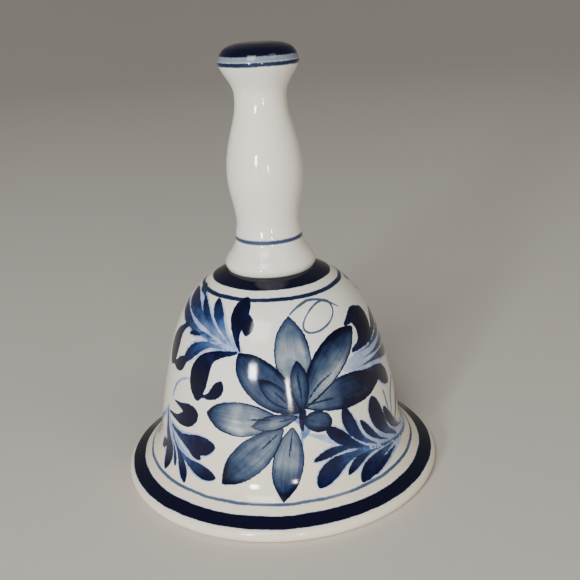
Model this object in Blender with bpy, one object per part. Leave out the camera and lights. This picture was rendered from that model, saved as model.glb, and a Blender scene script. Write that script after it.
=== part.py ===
"""Porcelain hand bell standing on its lip, with a clapper that hangs from a staple under the crown.

Metres, +Z up. The origin is the middle of the ring that the lip rests on. Lengths below are in
millimetres, and MM turns them into metres.
"""

import math

import bmesh
import bpy
from mathutils import Vector

MM = 0.001
GAP = 0.3  # between pieces that touch

# The shell, an open bell of glazed porcelain.
LIP_RADIUS = 45.0
LIP_BEAD = 2.0  # radius of the rounded edge
WALL = 3.0
REST_INNER_RADIUS = 41.6  # of the unglazed ring that the bell stands on
CROWN_Z = 59.5  # the flat seat of the handle
CROWN_HOLE = 4.8
SHELL_OUTSIDE = (  # (radius, height), from the handle's seat down to the lip
    (12.3, CROWN_Z),
    (16.4, 57.5),
    (20.4, 54.6),
    (23.7, 50.8),
    (26.3, 46.4),
    (28.8, 40.4),
    (31.0, 32.4),
    (33.0, 23.7),
    (34.1, 18.0),
    (34.6, 14.0),
    (35.7, 10.6),
    (37.6, 7.7),
    (40.3, 5.4),
)

# The handle, a hollow baluster with a domed head.
HEIGHT = 119.0
FOOT_Z = CROWN_Z + GAP
HANDLE_OUTSIDE = (  # from the foot's bead up to the top of the head
    (11.4, FOOT_Z),
    (12.3, 60.9),
    (11.7, 62.5),
    (10.3, 65.2),
    (9.2, 68.8),
    (8.6, 72.8),
    (9.2, 77.4),
    (10.1, 82.2),
    (10.3, 86.8),
    (9.7, 91.8),
    (8.5, 96.6),
    (7.25, 101.2),
    (6.9, 104.6),
    (7.05, 107.2),
    (8.05, 109.4),
    (9.6, 111.9),
    (10.5, 114.0),
    (10.25, 115.4),
    (9.6, 116.7),
    (8.4, 117.85),
    (5.8, 118.7),
    (2.8, 118.95),
    (0.0, HEIGHT),
)
HANDLE_INSIDE = (  # from the roof of the hollow down to the foot
    (0.0, 115.5),
    (4.2, 115.0),
    (6.4, 113.0),
    (4.4, 109.2),
    (3.8, 104.4),
    (5.4, 96.6),
    (6.9, 86.8),
    (5.5, 74.0),
    (6.4, 66.0),
    (9.0, FOOT_Z),
)

# The cement that fills the crown's hole and the handle's foot, and holds the staple.
PLUG_NECK = CROWN_HOLE - GAP
PLUG_BUTTON = 7.2  # radius under the crown
PLUG_BOTTOM_Z = 55.1
PLUG_KEY = 7.6  # radius inside the handle's foot
PLUG_TOP_Z = 67.0

# The wire staple and the ring on it.
WIRE = 1.6
RING_WIRE = 1.4
STAPLE_BEND = 2.6  # radius of its round end, at the wire's middle
STAPLE_Z = 52.0  # middle of the wire where the ring hangs
STAPLE_TOP_Z = 64.4
RING_RADIUS = 3.0
RING_Z = STAPLE_Z + WIRE / 2 + GAP + RING_WIRE / 2 - RING_RADIUS

# The clapper: a wire with an eye, and a porcelain ball on a washer and a crimped bead.
EYE_RADIUS = 2.6
CLAPPER_Z = RING_Z - RING_RADIUS  # middle of the ring's wire where the eye hangs
EYE_Z = CLAPPER_Z + RING_WIRE / 2 + GAP + WIRE / 2 - EYE_RADIUS
BALL_RADIUS = 8.5
BALL_Z = 15.5
BORE = WIRE / 2 + GAP
WASHER_RADIUS = 3.0
WASHER_THICKNESS = 0.8
WASHER_Z = BALL_Z - BALL_RADIUS - GAP - WASHER_THICKNESS / 2
BEAD_RADIUS = 1.9
BEAD_TOP_Z = WASHER_Z - WASHER_THICKNESS / 2 - GAP
BEAD_BOTTOM_Z = BEAD_TOP_Z - 2.4
ROD_END_Z = BEAD_BOTTOM_Z + 1.1

# Facets.
SHELL_SEGMENTS = 48
HANDLE_SEGMENTS = 32
BALL_SEGMENTS = 24
SMALL_SEGMENTS = 16
WIRE_BEVEL = 2  # gives a wire eight sides


def clear_scene():
    for obj in list(bpy.data.objects):
        bpy.data.objects.remove(obj)


def material(name, colour, roughness, metallic=0.0):
    made = bpy.data.materials.new(name)
    made.use_nodes = True
    shader = made.node_tree.nodes["Principled BSDF"]
    shader.inputs["Base Color"].default_value = (*colour, 1.0)
    shader.inputs["Roughness"].default_value = roughness
    shader.inputs["Metallic"].default_value = metallic
    return made


def add_object(name, data, finish=None):
    obj = bpy.data.objects.new(name, data)
    bpy.context.scene.collection.objects.link(obj)
    if finish:
        data.materials.append(finish)
    return obj


def smooth(points, per_span):
    """Points along a Catmull-Rom curve through the given ones, per_span to each stretch."""
    knots = [Vector(point) for point in points]
    knots = [2 * knots[0] - knots[1], *knots, 2 * knots[-1] - knots[-2]]
    curve = []
    for before, start, end, after in zip(knots, knots[1:], knots[2:], knots[3:]):
        for step in range(per_span):
            t = step / per_span
            bend = 2 * before - 5 * start + 4 * end - after
            twist = 3 * (start - end) + after - before
            curve.append(start + 0.5 * ((end - before) * t + bend * t**2 + twist * t**3))
    return [*curve, knots[-2]]


def arc(centre, radius, start, end, steps):
    """Points on an arc, with its angles in degrees from +X."""
    angles = [math.radians(start + (end - start) * i / steps) for i in range(steps + 1)]
    return [Vector((centre[0] + radius * math.cos(a), centre[1] + radius * math.sin(a))) for a in angles]


def inset_curve(curve, distance):
    """The curve moved sideways, to its right as it runs."""
    moved = []
    for i, point in enumerate(curve):
        along = (curve[min(i + 1, len(curve) - 1)] - curve[max(i - 1, 0)]).normalized()
        moved.append(point + distance * Vector((along.y, -along.x)))
    return moved


def turned(name, outline, segments, finish, closed, pivot_z=0.0):
    """A solid turned about Z from (radius, height) points, with its origin at pivot_z."""
    bm = bmesh.new()
    verts = [bm.verts.new((r * MM, 0.0, (z - pivot_z) * MM)) for r, z in outline]
    edges = [bm.edges.new(pair) for pair in zip(verts, verts[1:])]
    if closed:
        edges.append(bm.edges.new((verts[-1], verts[0])))
    bmesh.ops.spin(
        bm,
        geom=verts + edges,
        cent=(0, 0, 0),
        axis=(0, 0, 1),
        angle=math.tau,
        steps=segments,
        use_merge=True,
    )
    bmesh.ops.remove_doubles(bm, verts=bm.verts, dist=1e-6)
    return finished(name, bm, finish, pivot_z)


def wire_solid(name, path, diameter, finish, pivot_z=0.0, closed=False):
    """A wire bent along (x, y, z) points, with its origin at pivot_z."""
    curve = bpy.data.curves.new(name, "CURVE")
    curve.dimensions = "3D"
    curve.bevel_depth = diameter / 2 * MM
    curve.bevel_resolution = WIRE_BEVEL
    curve.use_fill_caps = True
    spline = curve.splines.new("POLY")
    spline.use_cyclic_u = closed
    spline.points.add(len(path) - 1)
    for point, (x, y, z) in zip(spline.points, path):
        point.co = (x * MM, y * MM, (z - pivot_z) * MM, 1.0)
    bent = add_object(name + "_path", curve)
    bm = bmesh.new()
    bm.from_mesh(bpy.data.meshes.new_from_object(bent))
    bmesh.ops.remove_doubles(bm, verts=bm.verts, dist=1e-6)
    bpy.data.objects.remove(bent)
    return finished(name, bm, finish, pivot_z)


def finished(name, bm, finish, pivot_z):
    bmesh.ops.recalc_face_normals(bm, faces=bm.faces)
    mesh = bpy.data.meshes.new(name)
    bm.to_mesh(mesh)
    bm.free()
    mesh.shade_smooth()
    mesh.set_sharp_from_angle(angle=math.radians(40))
    obj = add_object(name, mesh, finish)
    obj.location.z = pivot_z * MM
    return obj


def cut(obj, cutter):
    modifier = obj.modifiers.new("socket", "BOOLEAN")
    modifier.operation = "DIFFERENCE"
    modifier.solver = "EXACT"
    modifier.object = cutter
    cutter.hide_render = True
    cutter.display_type = "WIRE"


def bell_body(porcelain):
    outside = smooth(SHELL_OUTSIDE, 2)
    inside = inset_curve(smooth(SHELL_OUTSIDE, 1), WALL)
    bead = arc((LIP_RADIUS - LIP_BEAD, LIP_BEAD), LIP_BEAD, 75, -90, 6)
    outline = [Vector((CROWN_HOLE, CROWN_Z)), *outside, *bead]
    outline += [Vector((REST_INNER_RADIUS, 0.0)), *reversed(inside)]
    outline += [Vector((CROWN_HOLE, CROWN_Z - WALL))]
    return turned("bell_body", outline, SHELL_SEGMENTS, porcelain, closed=True)


def handle(porcelain):
    outline = smooth(HANDLE_INSIDE, 1) + smooth(HANDLE_OUTSIDE, 2)
    return turned("handle", outline, HANDLE_SEGMENTS, porcelain, closed=False)


def staple_path():
    """A staple in the XZ plane: round below, with legs that spread in the cement."""
    bend_z = STAPLE_Z + STAPLE_BEND
    bend = arc((0.0, bend_z), STAPLE_BEND, 180, 360, 10)
    leg = smooth(((STAPLE_BEND, 58.6), (STAPLE_BEND + 0.3, 61.2), (STAPLE_BEND + 1.5, STAPLE_TOP_Z)), 3)
    left = [Vector((-x, z)) for x, z in reversed(leg)]
    return [(x, 0.0, z) for x, z in [*left, *bend, *leg]]


def cement_plug(cement):
    outline = (
        (0.0, PLUG_BOTTOM_Z),
        (PLUG_BUTTON - 1.2, PLUG_BOTTOM_Z),
        (PLUG_BUTTON, CROWN_Z - WALL - GAP - 0.3),
        (PLUG_BUTTON - 0.2, CROWN_Z - WALL - GAP),
        (PLUG_NECK, CROWN_Z - WALL - GAP),
        (PLUG_NECK, CROWN_Z + GAP),
        (PLUG_KEY, CROWN_Z + GAP),
        (PLUG_KEY - 1.0, 62.6),
        (PLUG_KEY - 1.9, 65.6),
        (PLUG_KEY - 3.4, 66.7),
        (0.0, PLUG_TOP_Z),
    )
    plug = turned("cement_plug", outline, SMALL_SEGMENTS, cement, closed=False)
    cut(plug, wire_solid("staple_socket", staple_path(), WIRE + 2 * GAP, cement))
    return plug


def hanger_ring(brass):
    loop = arc((0.0, RING_Z), RING_RADIUS, 0, 360, 24)[:-1]
    path = [(0.0, y, z) for y, z in loop]
    return wire_solid("hanger_ring", path, RING_WIRE, brass, STAPLE_Z, closed=True)


def clapper_rod(brass):
    """A straight wire in the XZ plane that ends above in an eye, open beside its neck."""
    eye = arc((0.0, EYE_Z), EYE_RADIUS, -42, 222, 18)
    neck = smooth(((0.0, EYE_Z - EYE_RADIUS - 1.7), (0.5, EYE_Z - EYE_RADIUS - 0.3), eye[0]), 4)
    path = [(0.0, ROD_END_Z), (0.0, BALL_Z), (0.0, (BALL_Z + EYE_Z) / 2), *neck[:-1], *eye]
    return wire_solid("clapper_rod", [(x, 0.0, z) for x, z in path], WIRE, brass, CLAPPER_Z)


def clapper_ball(porcelain):
    bore_angle = math.degrees(math.acos(BORE / BALL_RADIUS))
    outline = arc((0.0, BALL_Z), BALL_RADIUS, bore_angle, -bore_angle, 14)
    return turned("clapper_ball", outline, BALL_SEGMENTS, porcelain, True, CLAPPER_Z)


def clapper_washer(brass):
    top, bottom = WASHER_Z + WASHER_THICKNESS / 2, WASHER_Z - WASHER_THICKNESS / 2
    outline = ((BORE, top), (WASHER_RADIUS, top), (WASHER_RADIUS, bottom), (BORE, bottom))
    return turned("clapper_washer", outline, SMALL_SEGMENTS, brass, True, CLAPPER_Z)


def crimp_bead(brass):
    outline = (
        (0.0, ROD_END_Z - GAP),
        (BORE, ROD_END_Z - GAP),
        (BORE, BEAD_TOP_Z),
        (BEAD_RADIUS - 0.3, BEAD_TOP_Z),
        (BEAD_RADIUS, BEAD_TOP_Z - 0.5),
        (BEAD_RADIUS, BEAD_BOTTOM_Z + 0.8),
        (BEAD_RADIUS - 0.5, BEAD_BOTTOM_Z + 0.2),
        (0.0, BEAD_BOTTOM_Z),
    )
    return turned("crimp_bead", outline, SMALL_SEGMENTS, brass, False, CLAPPER_Z)


def hang(pieces, name, pivot_z):
    """Puts the pieces under an empty on their joint's axis."""
    pivot = add_object(name, None)
    pivot.location.z = pivot_z * MM
    for piece in pieces:
        piece.location.z = 0.0
        piece.parent = pivot
    return pivot


def build():
    clear_scene()
    porcelain = material("glazed_porcelain", (0.77, 0.75, 0.70), 0.12)
    cement = material("cement", (0.62, 0.58, 0.50), 0.9)
    brass = material("brass_wire", (0.62, 0.47, 0.22), 0.32, metallic=1.0)
    bell_body(porcelain)
    handle(porcelain)
    cement_plug(cement)
    wire_solid("hanger_staple", staple_path(), WIRE, brass)
    hanger_ring(brass)
    clapper = [clapper_rod(brass), clapper_ball(porcelain), clapper_washer(brass), crimp_bead(brass)]
    hang(clapper, "clapper_pivot", CLAPPER_Z)


build()
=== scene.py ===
"""Looks of the porcelain hand bell: fine turned surfaces, cobalt painting under a clear glaze,
and the wire-hung clapper. Lengths in this script are millimetres unless a name says otherwise."""

import math

import bpy
import numpy as np
from mathutils import Matrix, Vector


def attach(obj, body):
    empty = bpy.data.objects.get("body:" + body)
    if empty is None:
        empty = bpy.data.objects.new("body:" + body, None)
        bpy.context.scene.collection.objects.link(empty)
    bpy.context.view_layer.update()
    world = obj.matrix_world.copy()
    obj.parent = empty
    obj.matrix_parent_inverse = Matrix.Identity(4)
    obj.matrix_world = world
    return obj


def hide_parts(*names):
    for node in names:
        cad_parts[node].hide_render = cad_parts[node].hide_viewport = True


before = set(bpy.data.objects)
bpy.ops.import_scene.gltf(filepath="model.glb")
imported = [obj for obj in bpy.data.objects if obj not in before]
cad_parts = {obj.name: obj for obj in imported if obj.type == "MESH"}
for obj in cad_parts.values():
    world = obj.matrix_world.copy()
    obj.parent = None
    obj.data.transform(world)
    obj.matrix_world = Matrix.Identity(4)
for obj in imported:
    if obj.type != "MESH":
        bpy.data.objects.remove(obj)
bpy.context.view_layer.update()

MM = 0.001

# ---------------------------------------------------------------- sizes
# Repeated from the CAD part, apart from the handle's outline below 70, which is a little fuller and
# comes down to the crown.

GAP = 0.3
LIP_RADIUS = 45.0
LIP_BEAD = 2.0
WALL = 3.0
REST_INNER_RADIUS = 41.6
CROWN_Z = 59.5
CROWN_HOLE = 4.8
SHELL_OUTSIDE = (
    (12.3, CROWN_Z),
    (16.4, 57.5),
    (20.4, 54.6),
    (23.7, 50.8),
    (26.3, 46.4),
    (28.8, 40.4),
    (31.0, 32.4),
    (33.0, 23.7),
    (34.1, 18.0),
    (34.6, 14.0),
    (35.7, 10.6),
    (37.6, 7.7),
    (40.3, 5.4),
)
HEIGHT = 119.0
FOOT_Z = CROWN_Z + GAP
SEAT_GAP = 0.02  # left between the handle's foot and the crown, so that no two faces coincide
HANDLE_OUTSIDE = (
    (11.8, CROWN_Z + SEAT_GAP),
    (12.25, 60.3),
    (12.45, 61.4),
    (11.85, 62.8),
    (10.3, 65.0),
    (9.25, 67.1),
    (9.1, 69.2),
    (8.6, 72.8),
    (9.2, 77.4),
    (10.1, 82.2),
    (10.3, 86.8),
    (9.7, 91.8),
    (8.5, 96.6),
    (7.25, 101.2),
    (6.9, 104.6),
    (7.05, 107.2),
    (8.05, 109.4),
    (9.6, 111.9),
    (10.5, 114.0),
    (10.25, 115.4),
    (9.6, 116.7),
    (8.4, 117.85),
    (5.8, 118.7),
    (2.8, 118.95),
    (0.0, HEIGHT),
)
HANDLE_INSIDE = (
    (0.0, 115.5),
    (4.2, 115.0),
    (6.4, 113.0),
    (4.4, 109.2),
    (3.8, 104.4),
    (5.4, 96.6),
    (6.9, 86.8),
    (5.5, 74.0),
    (6.4, 66.0),
    (9.0, FOOT_Z),
)

PLUG_NECK = CROWN_HOLE - GAP
PLUG_BUTTON = 7.2
PLUG_BOTTOM_Z = 55.1
PLUG_KEY = 7.6
PLUG_TOP_Z = 67.0

WIRE = 1.6
RING_WIRE = 1.4
STAPLE_BEND = 2.6
STAPLE_Z = 52.0
STAPLE_TOP_Z = 64.4
RING_RADIUS = 3.0
RING_Z = STAPLE_Z + WIRE / 2 + GAP + RING_WIRE / 2 - RING_RADIUS
EYE_RADIUS = 2.6
EYE_Z = RING_Z - RING_RADIUS + RING_WIRE / 2 + GAP + WIRE / 2 - EYE_RADIUS
BALL_RADIUS = 8.5
BALL_Z = 15.5
BORE = WIRE / 2 + GAP
WASHER_RADIUS = 3.0
WASHER_THICKNESS = 0.8
WASHER_Z = BALL_Z - BALL_RADIUS - GAP - WASHER_THICKNESS / 2
BEAD_RADIUS = 1.9
BEAD_TOP_Z = WASHER_Z - WASHER_THICKNESS / 2 - GAP
BEAD_BOTTOM_Z = BEAD_TOP_Z - 2.4
ROD_END_Z = BEAD_BOTTOM_Z + 1.1

# How finely the turned pieces are divided: columns round them, and the step between their rows
SHELL_COLUMNS, SHELL_STEP = 512, 0.44
HANDLE_COLUMNS, HANDLE_STEP = 144, 0.5
SMALL_COLUMNS, PLUG_STEP = 64, 0.45
BEAD_COLUMNS = 48

# ---------------------------------------------------------------- the painting
# A cobalt flower with leaves, laid out as in the photo but drawn with stock strokes. Each is one of
# three shapes, drawn from where it starts to where it ends, in (degrees round the bell from its
# front, height). Its half-width at its fullest and how far it bows to its left are in millimetres.
# Tones run from 0, bare porcelain, to 1, the darkest cobalt. The pattern goes round the bell twice.

DEGREE = 0.5  # millimetres that a degree measures round the shell, on the whole
WALL_RADIUS = 30.0  # the painted wall's, on the whole
# Stock shapes: (share along the stroke, share of its half-width)
PETAL = ((0.0, 0.15), (0.18, 0.62), (0.37, 0.93), (0.54, 1.0), (0.72, 0.84), (0.88, 0.42), (1.0, 0.0))
LEAF = ((0.0, 0.15), (0.28, 0.38), (0.48, 0.72), (0.66, 1.0), (0.81, 0.92), (0.93, 0.5), (1.0, 0.0))
RIBBON = ((0.0, 0.3), (0.15, 0.8), (0.4, 1.0), (0.65, 1.0), (0.85, 0.7), (1.0, 0.2))

# (layer, tones at the root, the middle and the tip, how much darker on one side, start, end,
# half-width, bow)
PETALS = (
    ("back", (0.52, 0.30, 0.62), 0.04, (11, 33), (9, 52.5), 4.7, 0.8),
    ("back", (0.26, 0.88, 1.0), 0.06, (11, 31), (60, 30.5), 4.4, 1.2),
    ("back", (0.40, 0.31, 1.0), 0.09, (-2, 28.5), (-37, 28.5), 4.5, 0.4),
    ("back", (0.44, 0.42, 1.05), -0.08, (5, 25.5), (-1, 7.5), 4.1, 0.0),
    ("middle", (0.42, 0.54, 1.0), -0.34, (12, 31), (51, 46.5), 4.5, 2.6),
    ("middle", (0.74, 0.66, 0.84), 0.08, (9, 30), (-21, 44.5), 5.0, 0.4),
    ("middle", (0.44, 0.52, 0.98), 0.05, (0, 25.5), (-27.5, 10.5), 4.4, -0.4),
    ("front", (0.58, 0.58, 0.98), 0.12, (7, 30.5), (-10, 38.5), 2.2, 0.0),
    ("front", (0.70, 0.54, 0.74), 0.08, (10.5, 30), (10, 42.5), 2.4, 0.0),
    ("front", (0.52, 0.42, 0.66), 0.06, (7.5, 28.5), (-14, 26.5), 2.0, 0.0),
    ("front", (0.74, 0.64, 0.76), 0.06, (11.5, 27.5), (23, 25.5), 2.8, 0.0),
)

# Dark leaves, over the washes and under the flower. A hooked one is two strokes: (start, end,
# half-width, bow)
LEAF_TONES = (0.86, 1.0, 0.98)
LEAVES = (
    ((-20.5, 45), (-21, 56.5), 2.3, 1.6),
    ((-23, 54), (-18, 48.5), 1.5, 1.8),
    ((-22.5, 44.5), (-43, 30.5), 3.3, -5.2),
    ((-43, 32), (-29.5, 37), 1.7, -1.6),
    ((-62, 48.5), (-72, 36), 3.4, -3.0),
    ((-74, 38), (-57, 40), 1.9, -2.0),
    ((45.5, 47.5), (65, 44), 3.6, 2.4),
    ((44.5, 41), (66, 49), 3.8, -2.2),
    ((61, 40.5), (89, 45.5), 1.9, 0.3),
    ((-62, 27.5), (-42, 27), 1.7, 0.0),
    ((-66, 23.5), (-42.5, 27.5), 2.3, -1.6),
    ((67, 15.5), (96, 19.5), 2.3, 2.6),
)

# Leaves of the fans, which start pale at the stem and lay a pale border round themselves:
# (tone at the stem, start, end, half-width, bow)
BORDER = 0.75  # the border's width at the stem
BORDER_TONES = (0.28, 0.22, 0.16)
FANS = (
    # to the upper left
    (0.34, (-24, 45.5), (-47, 55.5), 1.5, 0.0),
    (0.34, (-26, 46), (-63, 55), 1.1, 0.0),
    (0.60, (-57, 54), (-84, 56), 1.1, -0.4),
    (0.40, (-27, 46), (-92, 54.5), 2.1, -1.0),
    (0.40, (-28, 45.5), (-92, 51.5), 1.5, 0.3),
    (0.44, (-34, 46.5), (-60, 46), 0.8, -1.0),
    (0.42, (-29, 45), (-58.5, 38.5), 1.8, -2.8),
    # to the lower left
    (0.72, (-62, 20.5), (-31.5, 20), 2.7, -1.4),
    (0.80, (-50, 17.5), (-39.5, 15.5), 1.3, 0.0),
    (0.60, (-57, 15.5), (-30.5, 11.5), 1.8, -0.7),
    (0.66, (-61, 18.5), (-46, 8), 1.5, 0.0),
    (0.60, (-61.5, 17.5), (-55.5, 10), 0.8, 0.0),
    (0.66, (-69, 23.5), (-61.5, 8), 2.4, 0.0),
    (0.80, (-66, 14.5), (-73, 12), 1.4, 0.0),
    (0.50, (-70.5, 22.5), (-91, 12.5), 1.2, 0.0),
    # to the right
    (0.50, (45, 39.5), (93, 42), 1.0, -0.5),
    (0.50, (47, 38), (96, 38.5), 1.2, -0.5),
    (0.60, (45, 36.5), (95, 32.5), 1.6, 0.8),
    (0.80, (46, 35), (71, 27), 2.5, 1.6),
    # to the lower right, whose stems lead back towards the flower
    (0.58, (48, 14.5), (31, 28.5), 1.9, 2.2),
    (0.58, (58, 13), (39, 23.5), 1.1, 1.3),
    (0.66, (66, 12.5), (49.5, 27.5), 2.9, 2.4),
    (0.66, (80, 11.5), (57.5, 23), 1.6, 2.2),
    (0.62, (42, 15), (20.5, 24.5), 1.8, 0.6),
    (0.56, (40, 15), (12.5, 16), 1.2, -2.4),
    (0.56, (42, 14.5), (14, 9.5), 2.6, -2.6),
    (0.56, (50, 13), (28, 10.5), 1.3, -1.7),
    (0.60, (60, 11.5), (33, 8), 2.1, -1.3),
    (0.60, (68, 10.5), (39, 8), 0.9, -0.7),
)

# Broad pale strokes under the fans, and thin stems: (tone, start, end, half-width, bow)
WASHES = (
    (0.28, (-20.5, 45), (-88, 52), 3.2, -1.5),
    (0.24, (36, 37.5), (88, 37.5), 2.8, 0.4),
    (0.26, (92, 10.5), (13, 23.5), 1.9, 1.8),
    (0.62, (90, 9.5), (38, 15.5), 0.7, 1.0),
    (0.30, (-70, 24.5), (-44, 14), 1.0, -1.6),
    (0.40, (-65, 26.5), (-49.5, 35.5), 0.42, 2.5),
    (0.50, (61, 27), (62.5, 20), 0.4, 0.0),
    (0.50, (65.5, 18.5), (84, 25.5), 0.6, 3.0),
    (0.46, (9.5, 26.5), (8, 19), 0.4, 0.0),
    (0.46, (2, 29.5), (10, 23), 1.6, 2.4),
)

# The flower's heart, drawn last: (tone, start, end, half-width, bow). A vein also runs part of the
# way up each petal: its tones, half-width and share of the petal's length.
HEART = ((1.00, (9.5, 31), (9.5, 24.5), 0.7, 0.0), (0.90, (11.5, 30.5), (11.5, 25.5), 0.35, 0.0))
VEIN_TONES, VEIN_HALF, VEIN_REACH = (0.80, 0.80, 0.64), 0.35, 0.45

# Thin lines over the rest: a loop and a tendril
LOOP_CENTRE = (29.8, 51.1)
LOOP_SIZE = (12.6, 2.65)  # degrees, millimetres of height
LOOP_TILT = 0.125  # millimetres a degree
LOOP_HALF = 0.26
LOOP_AREA = 60.0  # degrees to each side of its centre where it is worked out
TENDRIL = ((9.5, 52.5), (48.5, 51.5), 0.36, 2.9)  # start, end, half-width, bow
LINE_TONE = 0.56
LEAF_GREY, RING_GREY = 0.12, 0.9  # how much of the flower's greyer pigment is in the rest
WASH_SOFT, STROKE_SOFT = 0.32, 0.15  # how far a stroke's edge fades
RIM_TONE, RIM_INSET = 0.92, 0.14  # a petal's dark outline, and how far inside the edge it runs
LEAF_SHIFT, PETAL_SHIFT = 0.7, 1.9  # of the hair streaks, from one stroke to the next

# Painted rings of the shell, in millimetres down the wall from the handle's seat: (from, to, tone)
SHELL_RINGS = ((-9.0, 4.35, 1.1), (6.85, 8.05, 0.88), (60.45, 61.3, 0.56), (63.9, 67.7, 1.1))
# The same on the handle, by height: the cap, the line round the head and the line at the waist
HANDLE_RINGS = ((115.9, 130.0, 1.1), (113.5, 114.5, 0.86), (67.8, 68.85, 0.66))
# The pale band between the head's line and the cap: (from, to, tone below, tone above)
HEAD_BAND = (114.3, 114.9, 0.0, 0.34)
NO_RING = 99.0  # further down the wall than any ring

LAYERS = ("wash", "leaf", "back", "middle", "front", "vein")
PETAL_LAYERS = LAYERS[2:5]
FAR = 3.0  # beyond this a stroke's edge no longer matters
MARGIN = 0.3  # past a stroke's edge, where its streaks go on
THINNEST = 0.02  # half-width of any stroke
ACROSS = 1.2  # the most that a place across a stroke counts, in half-widths
END = 0.002  # share of a thin line left out at each end


# ---------------------------------------------------------------- curves and turned meshes


def smooth(points, per_span):
    """Points along a Catmull-Rom curve through the given ones, per_span to each stretch."""
    knots = np.array(points, float)
    knots = np.vstack([2 * knots[0] - knots[1], knots, 2 * knots[-1] - knots[-2]])
    curve = []
    for before, start, end, after in zip(knots, knots[1:], knots[2:], knots[3:]):
        for step in range(per_span):
            t = step / per_span
            bend = 2 * before - 5 * start + 4 * end - after
            twist = 3 * (start - end) + after - before
            curve.append(start + 0.5 * ((end - before) * t + bend * t**2 + twist * t**3))
    return np.array([*curve, knots[-2]])


def arc(centre, radius, start, end, steps):
    """Points on an arc, with its angles in degrees from +X."""
    angles = np.radians(np.linspace(start, end, steps + 1))
    return np.column_stack([centre[0] + radius * np.cos(angles), centre[1] + radius * np.sin(angles)])


def lengths(curve):
    """Distance along the curve to each of its points."""
    return np.concatenate([[0.0], np.cumsum(np.linalg.norm(np.diff(curve, axis=0), axis=1))])


def evenly(curve, step):
    """The curve with its points about one step apart."""
    along = lengths(curve)
    wanted = np.linspace(0, along[-1], max(2, round(along[-1] / step) + 1))
    return np.column_stack([np.interp(wanted, along, curve[:, k]) for k in (0, 1)])


def inset_curve(curve, distance):
    """The curve moved sideways, to its right as it runs."""
    along = np.gradient(curve, axis=0)
    along /= np.linalg.norm(along, axis=1)[:, None]
    return curve + distance * np.column_stack([along[:, 1], -along[:, 0]])


def rounded(corners, radius, steps=4):
    """An open outline with its inner corners rounded off."""
    points = np.array(corners, float)
    outline = [points[0]]
    for before, corner, after in zip(points, points[1:], points[2:]):
        cut = [min(radius, 0.45 * np.linalg.norm(p - corner)) for p in (before, after)]
        start = corner + (before - corner) / np.linalg.norm(before - corner) * cut[0]
        end = corner + (after - corner) / np.linalg.norm(after - corner) * cut[1]
        for t in np.linspace(0, 1, steps + 1):
            outline.append((1 - t) ** 2 * start + 2 * t * (1 - t) * corner + t**2 * end)
    return np.array([*outline, points[-1]])


def turned_mesh(name, outline, columns, closed):
    """A mesh turned about Z from an outline of (radius, height). Column 0 is at -X."""
    angles = np.radians(-180 + 360 * np.arange(columns) / columns)
    points, rows = [], []
    for radius, z in outline:
        start = len(points)
        if radius < 1e-6:
            points.append((0.0, 0.0, z))
            rows.append([start] * (columns + 1))
        else:
            points.extend(zip(radius * np.cos(angles), radius * np.sin(angles), [z] * columns))
            rows.append([*range(start, start + columns), start])
    pairs = list(zip(rows, rows[1:]))
    if closed:
        pairs.append((rows[-1], rows[0]))
    faces = []
    for upper, lower in pairs:
        for j in range(columns):
            corners = (upper[j], lower[j], lower[j + 1], upper[j + 1])
            faces.append(tuple(dict.fromkeys(corners)))
    mesh = bpy.data.meshes.new(name)
    mesh.from_pydata((np.array(points) * MM).tolist(), [], faces)
    mesh.validate()
    mesh.shade_smooth()
    return mesh


def set_attribute(mesh, name, values):
    attribute = mesh.attributes.new(name, "FLOAT", "POINT")
    attribute.data.foreach_set("value", np.asarray(values, np.float32))


def link(name, data):
    made = bpy.data.objects.new(name, data)
    bpy.context.scene.collection.objects.link(made)
    return made


def wire_mesh(name, path, diameter, closed):
    """A round wire bent along (x, y, z) points."""
    curve = bpy.data.curves.new(name, "CURVE")
    curve.dimensions = "3D"
    curve.bevel_depth = diameter / 2 * MM
    curve.bevel_resolution = 6
    curve.use_fill_caps = True
    spline = curve.splines.new("POLY")
    spline.use_cyclic_u = closed
    spline.points.add(len(path) - 1)
    for point, (x, y, z) in zip(spline.points, path):
        point.co = (x * MM, y * MM, z * MM, 1.0)
    bent = link(name, curve)
    mesh = bpy.data.meshes.new_from_object(bent)
    bpy.data.objects.remove(bent)
    mesh.name = name
    mesh.shade_smooth()
    mesh.set_sharp_from_angle(angle=math.radians(50))
    return mesh


def add_piece(mesh, finish, body, node):
    mesh.materials.append(finish)
    piece = link(mesh.name, mesh)
    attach(piece, body)
    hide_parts(node)


def add_wire(name, path, diameter, metal, body, node, closed=False):
    add_piece(wire_mesh(name, path, diameter, closed), metal, body, node)


# ---------------------------------------------------------------- painting the shell


def blank(name):
    """What the map of that name holds where nothing is painted."""
    if name.endswith(("_edge", "_side")):
        return FAR
    return -FAR if name.endswith("_half") else 0.0


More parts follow.
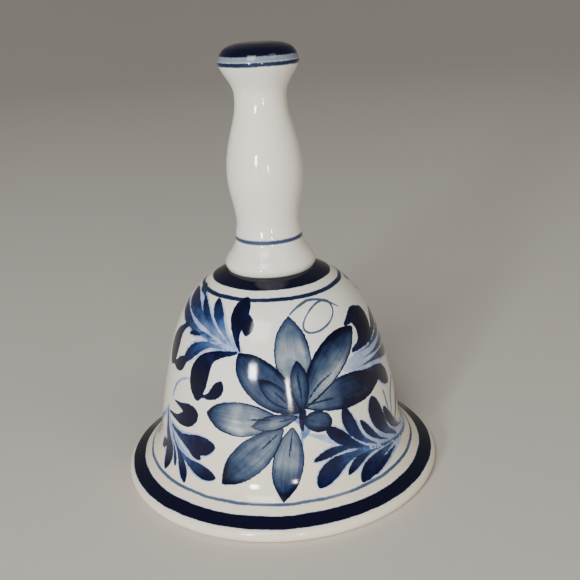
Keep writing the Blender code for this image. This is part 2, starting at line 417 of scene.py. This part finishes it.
class Canvas:
    """Half of the shell's outer wall as a grid of rows down the wall and columns round it."""

    def __init__(self, wall, columns):
        self.down = lengths(wall)
        self.radius = wall[:, 0]
        self.height = wall[:, 1]
        self.degrees = -90 + 360 * np.arange(columns // 2) / columns
        names = [layer + "_edge" for layer in LAYERS] + [layer + "_tone" for layer in LAYERS]
        names += ["hair_across", "hair_along", "loop_side", "tendril_side", "tendril_half"]
        self.maps = {name: np.full((len(wall), columns // 2), blank(name)) for name in names}

    def place(self, height):
        """Distance down the wall of a height on it."""
        return np.interp(-np.asarray(height), -self.height, self.down)

    def measure(self, points, per_span):
        """Where a path's stroke lies: (block of the grid, edge distance, share along it, signed
        distance from its middle line, its half-width there)."""
        path = smooth(points, per_span)
        x0, y0, width = path[:, 0], self.place(path[:, 1]), np.maximum(path[:, 2], THINNEST)
        reach = width.max() + FAR
        rows = np.flatnonzero((self.down > y0.min() - reach) & (self.down < y0.max() + reach))
        middle = (x0.min() + x0.max()) / 2
        span = (x0.max() - x0.min()) / 2 + math.degrees(reach / self.radius[rows].min())
        turn = (self.degrees - middle + 90) % 180 - 90
        columns = np.flatnonzero(np.abs(turn) < span)
        x = (middle + turn[columns])[None, :, None]
        dx = self.radius[rows][:, None, None] * np.radians(x - x0)
        dy = self.down[rows][:, None, None] - y0
        distance = np.hypot(dx, dy) - width
        nearest = distance.argmin(axis=2)
        pick = nearest[..., None]
        dx, dy = (np.take_along_axis(d, pick, 2)[..., 0] for d in (dx, dy))
        run = np.gradient(np.column_stack([WALL_RADIUS * np.radians(x0), y0]), axis=0)
        run /= np.linalg.norm(run, axis=1)[:, None] + 1e-9
        side = dx * run[nearest, 1] - dy * run[nearest, 0]
        share = nearest / (len(path) - 1)
        return np.ix_(rows, columns), distance.min(axis=2), share, side, width[nearest]

    def stroke(self, layer, points, tones, side=0.0, per_span=12, seed=0.0):
        """Draws a brush stroke, whose tones are those at its root, middle and tip."""
        block, edge, share, off, width = self.measure(points, per_span)
        across = np.clip(off / (width + MARGIN), -ACROSS, ACROSS)
        tone = np.interp(share, (0.0, 0.5, 1.0), tones) - side * across
        closer = edge < self.maps[layer + "_edge"][block]
        inside = edge < MARGIN
        for name, value, where in (
            ("_edge", edge, closer),
            ("_tone", tone, closer),
            ("hair_across", across + seed, inside & closer),
            ("hair_along", share, inside & closer),
        ):
            name = layer + name if name[0] == "_" else name
            self.maps[name][block] = np.where(where, value, self.maps[name][block])

    def line(self, name, points):
        """Draws a thin line by its signed distance, which stays sharp on a coarser grid."""
        block, edge, share, off, width = self.measure(points, 24)
        self.maps[name + "_side"][block] = np.copysign(edge + width, off)
        self.maps[name + "_half"][block] = np.where((share > END) & (share < 1 - END), width, -FAR)

    def loop(self):
        """Draws the loop by its signed distance, roughly: the gap to an ellipse along its radius."""
        x = (self.degrees[None, :] - LOOP_CENTRE[0] + 90) % 180 - 90
        y = self.height[:, None] - LOOP_CENTRE[1] - LOOP_TILT * x
        ratio = np.hypot(x / LOOP_SIZE[0], y / LOOP_SIZE[1])
        rise = np.gradient(self.height, self.down)[:, None]
        gap = np.hypot(np.radians(x) * self.radius[:, None], y / rise)
        side = gap * (1 - 1 / np.maximum(ratio, 0.1))
        self.maps["loop_side"] = np.where(np.abs(x) < LOOP_AREA, np.clip(side, -FAR, FAR), FAR)


def brushed(shape, start, end, half, bow):
    """Points of a stock stroke: (degrees, height, half-width)."""
    (x, z), (end_x, end_z) = start, end
    across, up = (end_x - x) * DEGREE, end_z - z
    length = math.hypot(across, up)
    points = []
    for share, width in shape:
        off = 4 * share * (1 - share) * bow / length
        degrees = x + (across * share - up * off) / DEGREE
        points.append((degrees, z + up * share + across * off, half * width))
    return points


def paint_shell(wall, columns):
    canvas = Canvas(wall, columns)
    for _, *leaf in FANS:
        points = brushed(LEAF, *leaf)
        last = len(points) - 1
        wider = [(x, z, w + BORDER * (1 - i / last) ** 0.5) for i, (x, z, w) in enumerate(points)]
        canvas.stroke("wash", wider, BORDER_TONES)
    for tone, *wash in WASHES:
        canvas.stroke("wash", brushed(RIBBON, *wash), (tone, tone, tone))
    for i, (tone, *leaf) in enumerate(FANS):
        tones = (tone, 0.6 + 0.45 * tone, 1.0)
        canvas.stroke("leaf", brushed(LEAF, *leaf), tones, seed=i * LEAF_SHIFT)
    for i, leaf in enumerate(LEAVES):
        canvas.stroke("leaf", brushed(LEAF, *leaf), LEAF_TONES, seed=i * LEAF_SHIFT)
    for i, (layer, tones, side, start, end, half, bow) in enumerate(PETALS):
        points = brushed(PETAL, start, end, half, bow)
        canvas.stroke(layer, points, tones, side=side, seed=i * PETAL_SHIFT, per_span=16)
        reach = [a + (b - a) * VEIN_REACH for a, b in zip(start, end)]
        canvas.stroke("vein", brushed(RIBBON, start, reach, VEIN_HALF, bow * VEIN_REACH), VEIN_TONES)
    for tone, *mark in HEART:
        canvas.stroke("vein", brushed(RIBBON, *mark), (tone, tone, tone))
    canvas.line("tendril", brushed(RIBBON, *TENDRIL))
    canvas.loop()
    return canvas


# ---------------------------------------------------------------- materials


class Nodes:
    """A short way to write a node tree: each call adds a node and returns its output."""

    def __init__(self, name):
        self.material = bpy.data.materials.new(name)
        self.material.use_nodes = True
        self.tree = self.material.node_tree
        self.shader = self.tree.nodes["Principled BSDF"]

    def add(self, kind, inputs=(), output=0, **settings):
        node = self.tree.nodes.new(kind)
        for key, value in settings.items():
            setattr(node, key, value)
        for key, value in dict(inputs).items():
            self.set(node.inputs[key], value)
        return node.outputs[output]

    def set(self, socket, value):
        if isinstance(value, bpy.types.NodeSocket):
            self.tree.links.new(value, socket)
        else:
            socket.default_value = value

    def math(self, operation, a, b=0.0):
        return self.add("ShaderNodeMath", {0: a, 1: b}, operation=operation)

    def highest(self, *values):
        top = values[0]
        for value in values[1:]:
            top = self.math("MAXIMUM", top, value)
        return top

    def total(self, *values):
        result = values[0]
        for value in values[1:]:
            result = self.math("ADD", result, value)
        return result

    def attribute(self, name):
        return self.add("ShaderNodeAttribute", output=2, attribute_name=name)

    def position(self):
        return self.add("ShaderNodeTexCoord", output=3)

    def height(self):
        return self.add("ShaderNodeSeparateXYZ", {0: self.position()}, output=2)

    def noise(self, scale, detail=2.0, roughness=0.5, vector=None):
        inputs = {"Scale": scale, "Detail": detail, "Roughness": roughness}
        inputs["Vector"] = vector or self.position()
        return self.add("ShaderNodeTexNoise", inputs)

    def map(self, value, low, high, to_low=0.0, to_high=1.0, kind="SMOOTHSTEP"):
        inputs = {"Value": value, 1: low, 2: high, 3: to_low, 4: to_high}
        return self.add("ShaderNodeMapRange", inputs, interpolation_type=kind)

    def wander(self, scale, reach, detail=2.0, vector=None):
        """Noise spread evenly about zero, out to about reach."""
        return self.map(self.noise(scale, detail, vector=vector), 0.3, 0.7, -reach, reach, "LINEAR")

    def mix(self, share, a, b):
        return self.add("ShaderNodeMix", {0: share, 2: a, 3: b}, data_type="FLOAT")

    def mix_colour(self, share, a, b):
        return self.add("ShaderNodeMix", {0: share, 6: a, 7: b}, output=2, data_type="RGBA")

    def ramp(self, value, stops):
        node = self.tree.nodes.new("ShaderNodeValToRGB")
        self.set(node.inputs[0], value)
        elements = node.color_ramp.elements
        while len(elements) < len(stops):
            elements.new(0.5)
        for element, (place, colour) in zip(elements, stops):
            element.position = place
            element.color = colour
        return node.outputs[0]

    def bump(self, height, distance_mm, normal=None):
        inputs = {"Height": height, "Distance": distance_mm * MM, "Strength": 1.0}
        if normal:
            inputs["Normal"] = normal
        return self.add("ShaderNodeBump", inputs)

    def finish(self, **sockets):
        for name, value in sockets.items():
            self.set(self.shader.inputs[name.replace("_", " ")], value)
        return self.material


def tint(red, green, blue):
    """A colour given as 0 to 255 on screen, as the shader's linear colour."""
    shares = [value / 255 for value in (red, green, blue)]
    return (*(c / 12.92 if c < 0.04045 else ((c + 0.055) / 1.055) ** 2.4 for c in shares), 1.0)


# How the pigment looks under the glaze, by tone: fine strokes, and the flower's greyer washes
COBALT = (
    (0.00, tint(234, 230, 219)),
    (0.15, tint(194, 202, 219)),
    (0.30, tint(146, 163, 198)),
    (0.45, tint(94, 117, 160)),
    (0.60, tint(54, 79, 124)),
    (0.75, tint(22, 37, 78)),
    (0.90, tint(9, 14, 48)),
    (1.00, tint(5, 6, 33)),
)
GREY_COBALT = (
    (0.00, tint(234, 230, 216)),
    (0.15, tint(186, 190, 189)),
    (0.30, tint(134, 142, 150)),
    (0.45, tint(92, 104, 119)),
    (0.60, tint(56, 71, 95)),
    (0.75, tint(29, 44, 72)),
    (0.90, tint(10, 17, 42)),
    (1.00, tint(6, 6, 31)),
)


GLAZE_IOR = 1.41
# Painted warm bounce light: a creamy tint on the white porcelain, strongest near the lip, standing in for
# warm light thrown up from below.
PAINTED_BOUNCE = 0.6  # how much of the creamy colour is near the lip
PAINTED_BOUNCE_Z = (4.0, 42.0)  # it is full below the first height and gone above the second


def glaze(nodes, colour):
    """Clear glaze over the body: soft waves and pinholes from firing, and a wet shine."""
    waves = nodes.noise(70, 2.0, 0.45)
    peel = nodes.noise(900, 2.0, 0.5)
    speck = nodes.add("ShaderNodeTexVoronoi", {"Scale": 420.0, "Vector": nodes.position()}, feature="F1")
    rare = nodes.map(nodes.noise(160, 1.0), 0.62, 0.67)
    pinhole = nodes.math("MULTIPLY", nodes.map(speck, 0.0, 0.04, 1.0, 0.0), rare)
    spotted = nodes.mix_colour(nodes.math("MULTIPLY", pinhole, 0.4), colour, tint(92, 74, 58))
    normal = nodes.bump(waves, 0.12)
    normal = nodes.bump(peel, 0.003, normal)
    normal = nodes.bump(pinhole, -0.03, normal)
    rough = nodes.map(nodes.noise(260, 3.0), 0.35, 0.75, 0.07, 0.14)
    return nodes.finish(Base_Color=spotted, Roughness=rough, Normal=normal, IOR=GLAZE_IOR)


def body_white(nodes):
    """Bare porcelain under the glaze: faintly cloudy and finely grained, with painted warm bounce light
    making it creamier towards the lip.
    """
    cloud = nodes.map(nodes.noise(38, 3.0, 0.55), 0.3, 0.7)
    white_and_bounce = nodes.mix_colour(cloud, tint(232, 228, 216), tint(238, 232, 214))
    # painted warm bounce light: the white turns creamier towards the lip
    lower = nodes.map(nodes.height(), PAINTED_BOUNCE_Z[0] * MM, PAINTED_BOUNCE_Z[1] * MM, PAINTED_BOUNCE, 0.0)
    white_and_bounce = nodes.mix_colour(lower, white_and_bounce, tint(238, 222, 190))
    grain = nodes.map(nodes.noise(1500, 1.0), 0.35, 0.65, 0.0, 0.12)
    return nodes.mix_colour(grain, white_and_bounce, tint(206, 203, 194))


def rings(nodes, along, bands, waver, soft):
    """Tone of the rings painted on a wheel, whose edges waver a little and whose pigment thins."""
    place = nodes.total(along, nodes.wander(140, waver), nodes.wander(1300, 0.07))
    thin = nodes.map(nodes.noise(110, 2.0), 0.3, 0.75, 1.0, 0.88)
    tones = []
    for low, high, depth in bands:
        off = nodes.math("ABSOLUTE", nodes.math("SUBTRACT", place, (low + high) / 2))
        half = (high - low) / 2
        tones.append(nodes.map(off, half - soft, half + soft, depth, 0.0))
    return nodes.math("MULTIPLY", nodes.highest(*tones), thin)


def painted_tone(nodes):
    """Pigment of the strokes, laid over each other in the order they were painted, and where the
    flower's greyer wash covers the rest."""
    hairs = nodes.add(
        "ShaderNodeCombineXYZ", {0: nodes.attribute("hair_across"), 1: nodes.attribute("hair_along")}
    )
    hairs = nodes.add("ShaderNodeMapping", {"Vector": hairs, "Scale": (5.0, 1.3, 1.0)})
    streak = nodes.wander(1.0, 0.06, 3.0, hairs)
    ragged = nodes.wander(1100, 0.10)
    pooled = nodes.wander(260, 0.09, 3.0)
    thickness = nodes.map(nodes.noise(170, 1.0), 0.35, 0.65, 0.28, 0.60)
    tone, greyer = None, LEAF_GREY
    for layer in LAYERS:
        edge = nodes.math("ADD", nodes.attribute(layer + "_edge"), ragged)
        fill = nodes.math("ADD", nodes.attribute(layer + "_tone"), pooled)
        soft = WASH_SOFT if layer == "wash" else STROKE_SOFT
        inside = nodes.map(edge, -soft, soft, 1.0, 0.0)
        if layer in PETAL_LAYERS:
            off = nodes.math("ABSOLUTE", nodes.math("ADD", edge, RIM_INSET))
            rim = nodes.map(nodes.math("DIVIDE", off, thickness), 0.25, 1.0, RIM_TONE, 0.0)
            shade = nodes.map(edge, -1.7, 0.0, 0.0, 0.20)
            fill = nodes.highest(nodes.total(fill, streak, shade), rim)
            tone = nodes.mix(inside, tone, fill)
            greyer = nodes.math("MAXIMUM", greyer, inside)
        else:
            fill = nodes.math("ADD", fill, nodes.math("MULTIPLY", streak, 0.5))
            laid = nodes.math("MULTIPLY", inside, fill)
            tone = laid if tone is None else nodes.math("MAXIMUM", tone, laid)
    for name, half in (("loop", LOOP_HALF), ("tendril", nodes.attribute("tendril_half"))):
        gap = nodes.math("SUBTRACT", nodes.math("ABSOLUTE", nodes.attribute(name + "_side")), half)
        gap = nodes.math("ADD", gap, nodes.wander(700, 0.07))
        line = nodes.map(gap, -0.12, 0.22, 1.0, 0.0)
        tone = nodes.math("MAXIMUM", tone, nodes.math("MULTIPLY", line, LINE_TONE))
        greyer = nodes.math("MAXIMUM", greyer, line)
    return tone, greyer


def pigmented(nodes, tone, greyer):
    inked = nodes.mix_colour(greyer, nodes.ramp(tone, COBALT), nodes.ramp(tone, GREY_COBALT))
    return nodes.mix_colour(nodes.map(tone, 0.0, 0.12), body_white(nodes), inked)


def painted_shell():
    nodes = Nodes("painted_shell")
    strokes, greyer = painted_tone(nodes)
    bands = rings(nodes, nodes.attribute("meridian"), SHELL_RINGS, 0.14, 0.2)
    greyer = nodes.math("MAXIMUM", greyer, nodes.map(bands, 0.0, 0.3, 0.0, RING_GREY))
    return glaze(nodes, pigmented(nodes, nodes.highest(strokes, bands), greyer))


def painted_handle():
    nodes = Nodes("painted_handle")
    height = nodes.math("MULTIPLY", nodes.height(), 1 / MM)
    band = nodes.map(height, *HEAD_BAND)
    tone = nodes.highest(rings(nodes, height, HANDLE_RINGS, 0.06, 0.3), band)
    return glaze(nodes, pigmented(nodes, tone, RING_GREY))


def plain_porcelain():
    nodes = Nodes("plain_porcelain")
    return glaze(nodes, body_white(nodes))


def biscuit():
    """The unglazed foot ring, a little soiled from standing."""
    nodes = Nodes("biscuit_porcelain")
    dirt = nodes.map(nodes.noise(240, 5.0, 0.65), 0.4, 0.7)
    colour = nodes.mix_colour(dirt, tint(222, 214, 198), tint(172, 158, 138))
    normal = nodes.bump(nodes.noise(3000, 4.0, 0.7), 0.03)
    return nodes.finish(Base_Color=colour, Roughness=0.78, Normal=normal)


def cement():
    nodes = Nodes("set_cement")
    coarse = nodes.noise(700, 6.0, 0.7)
    stops = ((0.3, tint(150, 142, 126)), (0.55, tint(188, 180, 162)), (0.75, tint(206, 199, 183)))
    normal = nodes.bump(coarse, 0.3)
    return nodes.finish(Base_Color=nodes.ramp(coarse, stops), Roughness=0.9, Normal=normal)


def brass():
    """Drawn brass wire, dulled and darker in patches."""
    nodes = Nodes("aged_brass")
    patches = nodes.map(nodes.noise(420, 4.0, 0.6), 0.38, 0.68)
    colour = nodes.mix_colour(patches, tint(206, 170, 104), tint(126, 94, 54))
    stretched = nodes.add("ShaderNodeMapping", {"Vector": nodes.position(), "Scale": (2600, 2600, 160)})
    normal = nodes.bump(nodes.noise(1.0, 2.0, vector=stretched), 0.02)
    rough = nodes.mix(patches, 0.24, 0.5)
    return nodes.finish(Base_Color=colour, Metallic=1.0, Roughness=rough, Normal=normal)


# ---------------------------------------------------------------- pieces


def bell_shell(painted, bare):
    """Its outline runs from the crown's hole down the outside, round the lip and up the inside."""
    lip = arc((LIP_RADIUS - LIP_BEAD, LIP_BEAD), LIP_BEAD, 75, -90, 16)
    outside = evenly(np.vstack([smooth(SHELL_OUTSIDE, 12), lip[:1]]), SHELL_STEP)
    inside = inset_curve(smooth(SHELL_OUTSIDE, 3), WALL)[::-1]
    crown = ((CROWN_HOLE, CROWN_Z), (8.0, CROWN_Z))
    rest = ((REST_INNER_RADIUS + 0.3, 0.0), (REST_INNER_RADIUS - 0.1, 0.25))
    hole = ((CROWN_HOLE + 0.4, CROWN_Z - WALL), (CROWN_HOLE, CROWN_Z - WALL + 0.4))
    outline = np.vstack([crown, outside, lip[1:], rest, inside, hole])
    mesh = turned_mesh("bell_shell", outline, SHELL_COLUMNS, closed=True)
    first, last = len(crown), len(crown) + len(outside)
    rest_row = last + len(lip) - 2
    down = lengths(outline)
    down -= down[first]
    down[rest_row:] = NO_RING
    set_attribute(mesh, "meridian", np.repeat(down, SHELL_COLUMNS))
    for name, half in paint_shell(outline[first:last], SHELL_COLUMNS).maps.items():
        values = np.full((len(outline), SHELL_COLUMNS), blank(name))
        values[first:last] = np.tile(half, (1, 2))
        set_attribute(mesh, name, values.ravel())
    rows = np.repeat(np.arange(len(outline)), SHELL_COLUMNS)
    mesh.polygons.foreach_set("material_index", (rows == rest_row).astype(np.int32))
    add_piece(mesh, painted, "bell", "bell_body")
    mesh.materials.append(bare)


def handle_baluster(painted):
    outside = evenly(smooth(HANDLE_OUTSIDE, 10)[::-1], HANDLE_STEP)
    outline = np.vstack([outside, smooth(HANDLE_INSIDE, 3)[::-1]])
    outline[np.abs(outline) < 1e-9] = 0.0
    mesh = turned_mesh("handle_baluster", outline, HANDLE_COLUMNS, closed=False)
    add_piece(mesh, painted, "bell", "handle")


def cement_plug(finish):
    """Its lower face is the smeared button seen when looking up into the bell."""
    under = CROWN_Z - WALL - GAP
    corners = (
        (0.0, PLUG_TOP_Z),
        (PLUG_KEY - 3.4, 66.7),
        (PLUG_KEY - 1.9, 65.6),
        (PLUG_KEY - 1.0, 62.6),
        (PLUG_KEY, CROWN_Z + GAP),
        (PLUG_NECK, CROWN_Z + GAP),
        (PLUG_NECK, under),
        (PLUG_BUTTON, under),
        (PLUG_BUTTON - 0.5, PLUG_BOTTOM_Z + 0.5),
        (PLUG_BUTTON - 2.2, PLUG_BOTTOM_Z),
        (0.0, PLUG_BOTTOM_Z),
    )
    outline = evenly(rounded(corners, 0.5), PLUG_STEP)
    outline[0, 0] = outline[-1, 0] = 0.0
    mesh = turned_mesh("cement_plug_rough", outline, SMALL_COLUMNS, closed=False)
    for vertex in mesh.vertices:
        if vertex.co.z < under * MM and math.hypot(vertex.co.x, vertex.co.y) > 3 * MM:
            angle = math.atan2(vertex.co.y, vertex.co.x)
            swell = 0.5 + 0.3 * math.sin(3 * angle + 0.8) + 0.2 * math.sin(7 * angle)
            vertex.co.x *= 1 - 0.06 * swell
            vertex.co.y *= 1 - 0.06 * swell
    add_piece(mesh, finish, "bell", "cement_plug")


def staple_path():
    """A staple in the XZ plane: round below, with legs that spread in the cement."""
    bend = arc((0.0, STAPLE_Z + STAPLE_BEND), STAPLE_BEND, 180, 360, 28)
    leg = smooth(((STAPLE_BEND, 58.6), (STAPLE_BEND + 0.3, 61.2), (STAPLE_BEND + 1.5, STAPLE_TOP_Z)), 6)
    left = leg[::-1] * (-1, 1)
    return [(x, 0.0, z) for x, z in np.vstack([left, bend, leg])]


def ring_path():
    return [(0.0, y, z) for y, z in arc((0.0, RING_Z), RING_RADIUS, 0, 360, 64)[:-1]]


def rod_path():
    eye = arc((0.0, EYE_Z), EYE_RADIUS, -42, 222, 48)
    neck = smooth(((0.0, EYE_Z - EYE_RADIUS - 1.7), (0.5, EYE_Z - EYE_RADIUS - 0.3), eye[0]), 8)
    shank = ((0.0, ROD_END_Z), (0.0, BALL_Z), (0.0, (BALL_Z + EYE_Z) / 2))
    return [(x, 0.0, z) for x, z in np.vstack([shank, neck[:-1], eye])]


def clapper_ball(glazed):
    """A bored ball whose hole is softened by glaze, with a faint seam from its mould."""
    bore_angle = math.degrees(math.acos((BORE + 0.35) / BALL_RADIUS))
    outside = arc((0.0, BALL_Z), BALL_RADIUS, bore_angle, -bore_angle, 48)
    seam = np.exp(-(((outside[:, 1] - BALL_Z) / 0.35) ** 2))
    outside[:, 0] -= 0.06 * (1 - seam)
    top = outside[0, 1]
    lead = ((BORE, top - 0.9), (BORE, top - 0.45), (BORE + 0.12, top - 0.12))
    flipped = [(r, 2 * BALL_Z - z) for r, z in lead[::-1]]
    outline = np.vstack([lead, outside, flipped])
    mesh = turned_mesh("clapper_ball_glazed", outline, SMALL_COLUMNS, closed=True)
    add_piece(mesh, glazed, "clapper", "clapper_ball")


def clapper_washer(metal):
    top, bottom = WASHER_Z + WASHER_THICKNESS / 2, WASHER_Z - WASHER_THICKNESS / 2
    hole = BORE + 0.15
    corners = ((hole, WASHER_Z), (hole, top), (WASHER_RADIUS, top), (WASHER_RADIUS, bottom), (hole, bottom))
    outline = rounded((*corners, (hole, WASHER_Z - 0.01)), 0.15)
    mesh = turned_mesh("clapper_washer_stamped", outline[:-1], SMALL_COLUMNS, closed=True)
    add_piece(mesh, metal, "clapper", "clapper_washer")


def crimp_bead(metal):
    """A bead squeezed flat on two sides onto the rod's end."""
    corners = (
        (0.0, ROD_END_Z - GAP),
        (BORE, ROD_END_Z - GAP),
        (BORE, BEAD_TOP_Z),
        (BEAD_RADIUS, BEAD_TOP_Z),
        (BEAD_RADIUS, BEAD_BOTTOM_Z),
        (0.0, BEAD_BOTTOM_Z),
    )
    outline = rounded(corners, 0.55)
    mesh = turned_mesh("crimp_bead_squeezed", outline, BEAD_COLUMNS, closed=False)
    for vertex in mesh.vertices:
        level = (vertex.co.z / MM - BEAD_BOTTOM_Z) / (BEAD_TOP_Z - BEAD_BOTTOM_Z)
        flat = (BEAD_RADIUS - 0.38 * math.exp(-(((level - 0.5) / 0.22) ** 2))) * MM
        vertex.co.y = max(-flat, min(flat, vertex.co.y))
    add_piece(mesh, metal, "clapper", "crimp_bead")


def build():
    glazed, metal = plain_porcelain(), brass()
    bell_shell(painted_shell(), biscuit())
    handle_baluster(painted_handle())
    cement_plug(cement())
    add_wire("staple_wire", staple_path(), WIRE, metal, "bell", "hanger_staple")
    add_wire("ring_wire", ring_path(), RING_WIRE, metal, "ring", "hanger_ring", closed=True)
    add_wire("rod_wire", rod_path(), WIRE, metal, "clapper", "clapper_rod")
    clapper_ball(glazed)
    clapper_washer(metal)
    crimp_bead(metal)


# ---------------------------------------------------------------- camera, light and floor

CAMERA_BACK = 224.5
CAMERA_HEIGHT = 131.0
CAMERA_YAW = 1.24
CAMERA_DOWN = 19.46
CAMERA_ROLL = -3.2
CAMERA_LENS, CAMERA_SENSOR = 52.76, 36.0


def add_camera():
    data = bpy.data.cameras.new("camera")
    data.lens = CAMERA_LENS
    data.sensor_width = CAMERA_SENSOR
    data.clip_start, data.clip_end = 0.01, 20.0
    camera = link("camera", data)
    aim = Matrix.Rotation(math.radians(-CAMERA_YAW), 4, "Z")
    aim @= Matrix.Rotation(math.radians(90 - CAMERA_DOWN), 4, "X")
    aim @= Matrix.Rotation(math.radians(CAMERA_ROLL), 4, "Z")
    camera.matrix_world = Matrix.Translation((0.0, -CAMERA_BACK * MM, CAMERA_HEIGHT * MM)) @ aim
    bpy.context.scene.camera = camera


def add_light(name, azimuth, elevation, distance, size, radiance, colour):
    """An area light round the bell: degrees right of the front and up, then millimetres. Its
    radiance is how bright its face is, so its reflection stays as bright at any size."""
    data = bpy.data.lights.new(name, "AREA")
    data.shape = "RECTANGLE"
    data.size, data.size_y = size[0] * MM, size[1] * MM
    data.energy = radiance * math.pi * data.size * data.size_y
    data.color = colour
    light = link(name, data)
    light.visible_camera = False
    flat = distance * math.cos(math.radians(elevation))
    turn = math.radians(azimuth)
    rise = LIGHT_AIM_Z + distance * math.sin(math.radians(elevation))
    light.location = Vector((flat * math.sin(turn), -flat * math.cos(turn), rise)) * MM
    aim = Vector((0.0, 0.0, LIGHT_AIM_Z * MM)) - light.location
    light.rotation_mode = "QUATERNION"
    light.rotation_quaternion = aim.to_track_quat("-Z", "Y")


LIGHT_AIM_Z = 50.0
FLOOR_RADIUS, FLOOR_SWEEP = 1200.0, 2600.0
FLOOR_COLOUR = (0.64, 0.585, 0.51, 1.0)
FLOOR_COLUMNS = 96
SKY_COLOUR, SKY_STRENGTH = (0.94, 0.96, 1.0, 1.0), 0.19
LIGHTS = (
    # name, azimuth, elevation, distance, size, radiance, colour
    ("key", -22, 42, 2400, (900, 900), 12.0, (0.98, 0.99, 1.0)),
    ("fill", 52, 44, 2400, (750, 750), 3.3, (1.0, 0.94, 0.85)),
    ("window_left", -25.6, 9.6, 600, (66, 92), 135.0, (0.92, 0.96, 1.0)),
    ("window_right", 8.9, 2.2, 620, (27, 62), 150.0, (1.0, 0.98, 0.94)),
)


def add_studio():
    world = bpy.data.worlds.new("studio")
    world.use_nodes = True
    sky = world.node_tree.nodes["Background"].inputs
    sky["Color"].default_value = SKY_COLOUR
    sky["Strength"].default_value = SKY_STRENGTH
    bpy.context.scene.world = world
    for light in LIGHTS:
        add_light(*light)


def add_floor():
    """A plain pale floor that rises far away, so it has no horizon behind the bell."""
    nodes = Nodes("floor")
    nodes.finish(Base_Color=FLOOR_COLOUR, Roughness=0.75)
    rise = arc((FLOOR_RADIUS, FLOOR_SWEEP), FLOOR_SWEEP, -90, -35, 24)
    outline = np.vstack([[(0.0, 0.0), (FLOOR_RADIUS / 2, 0.0)], rise])
    mesh = turned_mesh("floor", outline, FLOOR_COLUMNS, closed=False)
    mesh.materials.append(nodes.material)
    link("floor", mesh)


add_camera()
build()
add_studio()
add_floor()
